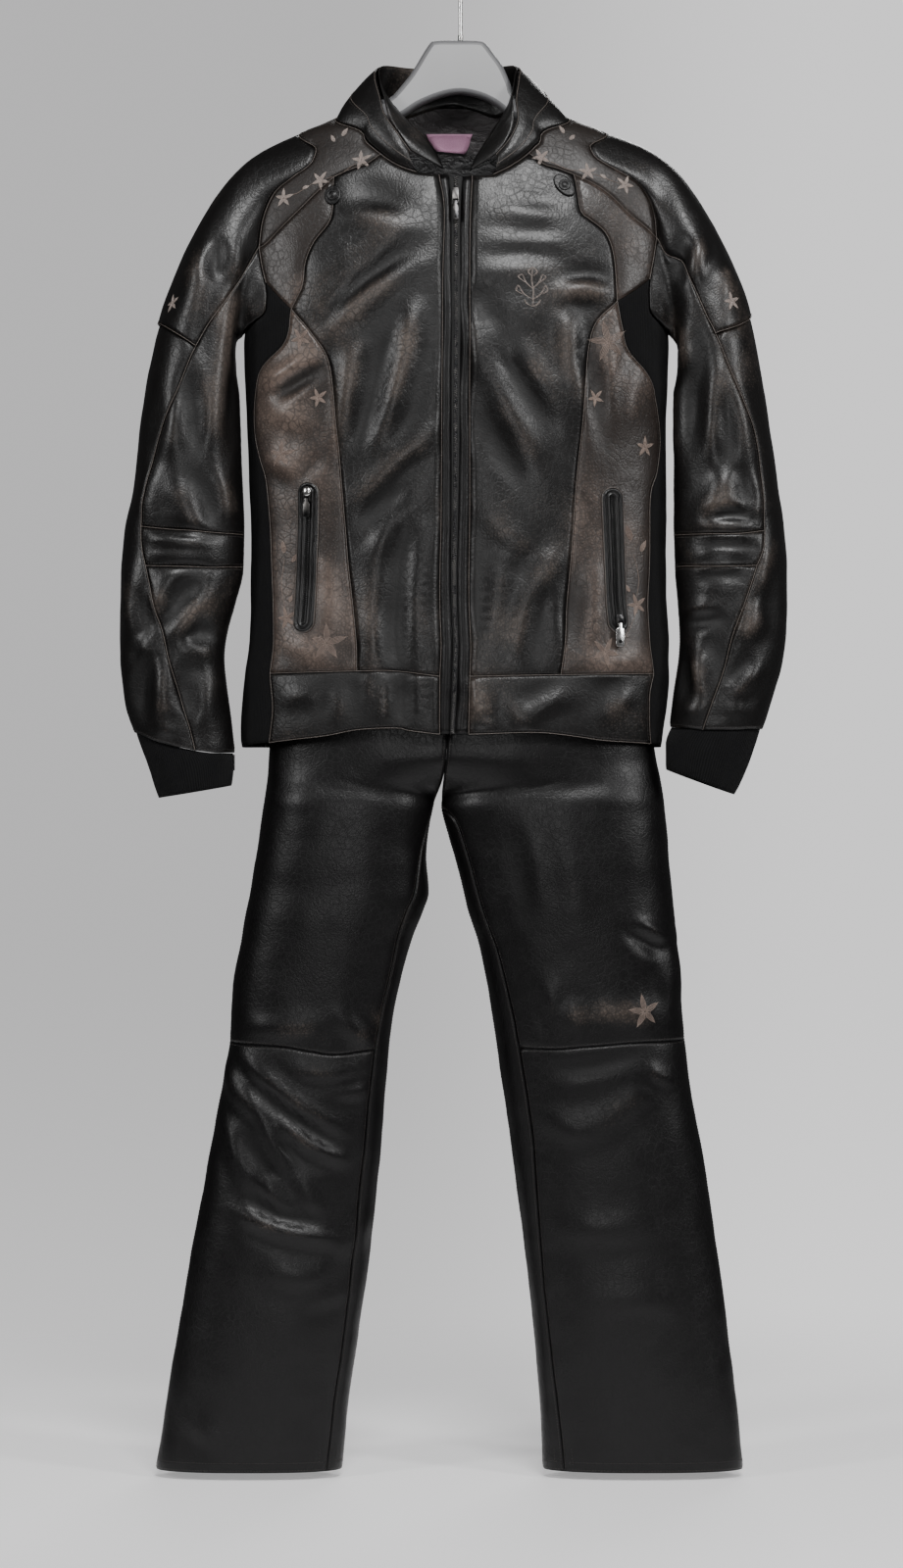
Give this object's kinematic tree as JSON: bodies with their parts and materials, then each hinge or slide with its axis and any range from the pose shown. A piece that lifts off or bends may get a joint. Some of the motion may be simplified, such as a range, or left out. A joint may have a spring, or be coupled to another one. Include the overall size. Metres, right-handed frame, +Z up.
{
  "type": "motorcycle race suit on a clothes hanger",
  "caption": "Two-piece leather motorcycle race suit with knit sides and cuffs, front zip, pocket zips and hollow sleeves and legs, hanging on a moulded clothes hanger with a wire hook.",
  "frame": {"origin": "where the inside of the hook's bend rests on a rail", "axes": "+Z up, -Y out of the suit's front, +X to the viewer's right"},
  "size_m": [0.745, 0.1561, 1.7176],
  "materials": {
    "black_leather": "glossy black leather, worn brown on the ridges",
    "brown_leather": "rubbed dark brown leather",
    "ribbed_knit": "matte black ribbed knit",
    "satin_lining": "dark satin",
    "woven_label": "pink woven cloth",
    "zip_tape": "black woven tape with metal teeth",
    "gunmetal": "dark nickel",
    "bright_metal": "bright nickel",
    "grey_plastic": "smooth light grey plastic"
  },
  "bodies": {
    "suit": {"front_l": "black_leather", "zip_facing_l": "black_leather", "hem_front_l": "black_leather", "shoulder_cap_l": "black_leather", "sleeve_outer_l": "black_leather", "sleeve_front_l": "black_leather", "elbow_l": "black_leather", "forearm_l": "black_leather", "sleeve_under_l": "black_leather", "thigh_l": "black_leather", "shin_l": "black_leather", "inner_leg_l": "black_leather", "leg_back_l": "black_leather", "waistband_l": "black_leather", "pocket_l": "black_leather", "snap_tab_l": "black_leather", "chest_side_l": "brown_leather", "pocket_panel_l": "brown_leather", "shoulder_strip_l": "brown_leather", "knit_side_l": "ribbed_knit", "cuff_l": "ribbed_knit", "pocket_slider_l": "gunmetal", "front_r": "black_leather", "zip_facing_r": "black_leather", "hem_front_r": "black_leather", "shoulder_cap_r": "black_leather", "sleeve_outer_r": "black_leather", "sleeve_front_r": "black_leather", "elbow_r": "black_leather", "forearm_r": "black_leather", "sleeve_under_r": "black_leather", "thigh_r": "black_leather", "shin_r": "black_leather", "inner_leg_r": "black_leather", "leg_back_r": "black_leather", "waistband_r": "black_leather", "pocket_r": "black_leather", "snap_tab_r": "black_leather", "chest_side_r": "brown_leather", "pocket_panel_r": "brown_leather", "shoulder_strip_r": "brown_leather", "knit_side_r": "ribbed_knit", "cuff_r": "ribbed_knit", "pocket_slider_r": "gunmetal", "back": "black_leather", "hem_back": "black_leather", "collar": "black_leather", "collar_inside": "black_leather", "lining": "satin_lining", "label": "woven_label", "suit_connector": "satin_lining", "zip_tape": "zip_tape", "slider_front": "gunmetal", "hanger_body": "grey_plastic", "ferrule": "bright_metal", "hook": "bright_metal"},
    "front_pull": {"pull_front": "gunmetal"},
    "left_pocket_pull": {"pocket_pull_l": "gunmetal"},
    "right_pocket_pull": {"pocket_pull_r": "bright_metal"},
    "left_cuff_pull": {"cuff_pull": "gunmetal"}
  },
  "joints": [
    {"name": "front_pull_swing", "type": "hinge", "parent": "suit", "child": "front_pull", "pos_m": [-0.00549, -0.06476, -0.30011], "axis": [-1, -0.0007, 0], "range_deg": [0, 150]},
    {"name": "left_pocket_pull_swing", "type": "hinge", "parent": "suit", "child": "left_pocket_pull", "pos_m": [-0.17087, -0.06463, -0.63003], "axis": [-0.9621, 0.2725, 0], "range_deg": [0, 150]},
    {"name": "right_pocket_pull_swing", "type": "hinge", "parent": "suit", "child": "right_pocket_pull", "pos_m": [0.1768, -0.06365, -0.7686], "axis": [-0.9495, -0.3139, 0], "range_deg": [0, 150]},
    {"name": "left_cuff_pull_swing", "type": "hinge", "parent": "suit", "child": "left_cuff_pull", "pos_m": [-0.25275, -0.024, -0.913], "axis": [0, -1, 0], "range_deg": [0, 90]}
  ]
}
